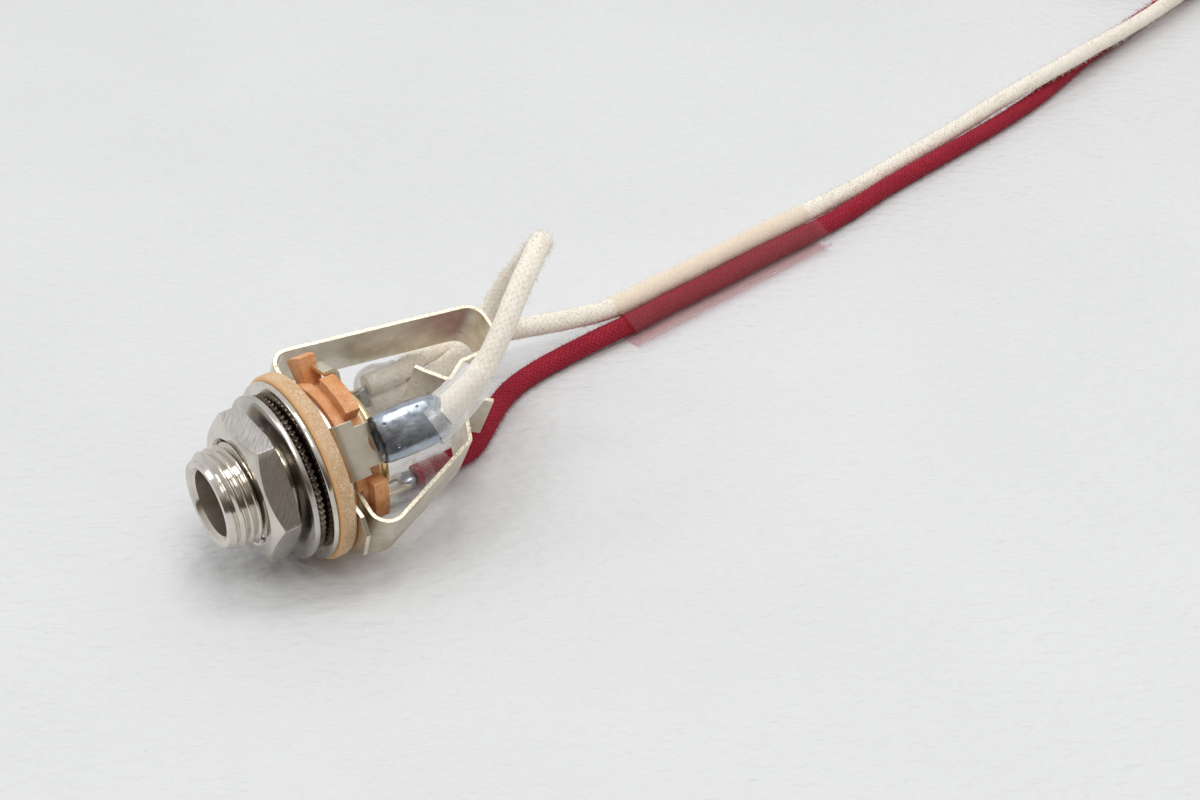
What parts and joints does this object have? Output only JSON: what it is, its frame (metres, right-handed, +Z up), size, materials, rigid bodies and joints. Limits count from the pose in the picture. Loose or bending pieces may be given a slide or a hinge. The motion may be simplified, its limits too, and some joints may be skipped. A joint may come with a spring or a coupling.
{
  "type": "audio jack socket",
  "caption": "Open-frame panel jack socket with a threaded bushing, hex nut and washers, bent contact springs on insulating wafers, and cloth-covered leads in clear shrink tubing.",
  "frame": {"origin": "on the jack axis at the front face of the flange", "axes": "+X along the jack axis from the mouth to the springs, +Z up from the surface it lies on"},
  "size_m": [0.1863, 0.0669, 0.0242],
  "materials": {
    "nickel": "polished nickel plate on brass",
    "nut_nickel": "polished nickel plate",
    "washer_steel": "plated steel",
    "fibre": "raw vulcanised fibre",
    "phenolic": "satin phenolic board",
    "tinned_brass": "tinned",
    "nickel_silver": "satin spring strip",
    "brass_plate": "worn plate on brass",
    "solder": "bright solder",
    "clear_tube": "clear heat-shrink",
    "white_cloth": "braided cotton",
    "red_cloth": "braided cotton",
    "tie_plastic": "plain",
    "tinned_copper": "tinned strands"
  },
  "bodies": {
    "socket": {"bushing": "nickel", "lock_washer": "washer_steel", "fibre_washer": "fibre", "sleeve_terminal": "tinned_brass", "front_insulator": "phenolic", "tip_terminal": "nickel_silver", "middle_insulator": "phenolic", "ring_terminal": "nickel_silver", "keyed_wafer": "phenolic", "rear_washer": "brass_plate", "insulating_collar": "fibre", "sleeve_solder": "solder", "ring_solder": "solder", "tip_solder": "solder", "sleeve_shrink": "clear_tube", "ring_shrink": "clear_tube", "tip_shrink": "clear_tube", "white_jumper": "white_cloth", "white_lead": "white_cloth", "red_lead": "red_cloth", "joint_sleeve": "clear_tube", "lead_coil": "white_cloth", "coil_tie": "tie_plastic", "white_tip": "tinned_copper", "red_tip": "tinned_copper"},
    "washer": {"flat_washer": "washer_steel"},
    "nut": {"hex_nut": "nut_nickel"},
    "tip_blade": {"tip_spring": "nickel_silver"},
    "ring_blade": {"ring_spring": "nickel_silver"}
  },
  "joints": [
    {"name": "washer_slide", "type": "slide", "parent": "socket", "child": "washer", "axis": [-1, 0, 0], "range_m": [0, 0.003]},
    {"name": "nut_turn", "type": "hinge", "parent": "washer", "child": "nut", "pos_m": [-0.0036, 0, 0], "axis": [-1, 0, 0], "range_deg": [0, 1362]},
    {"name": "tip_flex", "type": "hinge", "parent": "socket", "child": "tip_blade", "pos_m": [0.00539, 0.009, 0.00458], "axis": [0, -0.454, 0.891], "range_deg": [0, 12], "stiffness_Nm_per_rad": 0.9},
    {"name": "ring_flex", "type": "hinge", "parent": "socket", "child": "ring_blade", "pos_m": [0.00678, -0.00836, -0.00426], "axis": [0, 0.454, -0.891], "range_deg": [0, 12], "stiffness_Nm_per_rad": 0.9}
  ],
  "couplings": [
    {"joint": "nut_turn", "follows": "washer_slide", "rad_per_m": 7913.3}
  ]
}
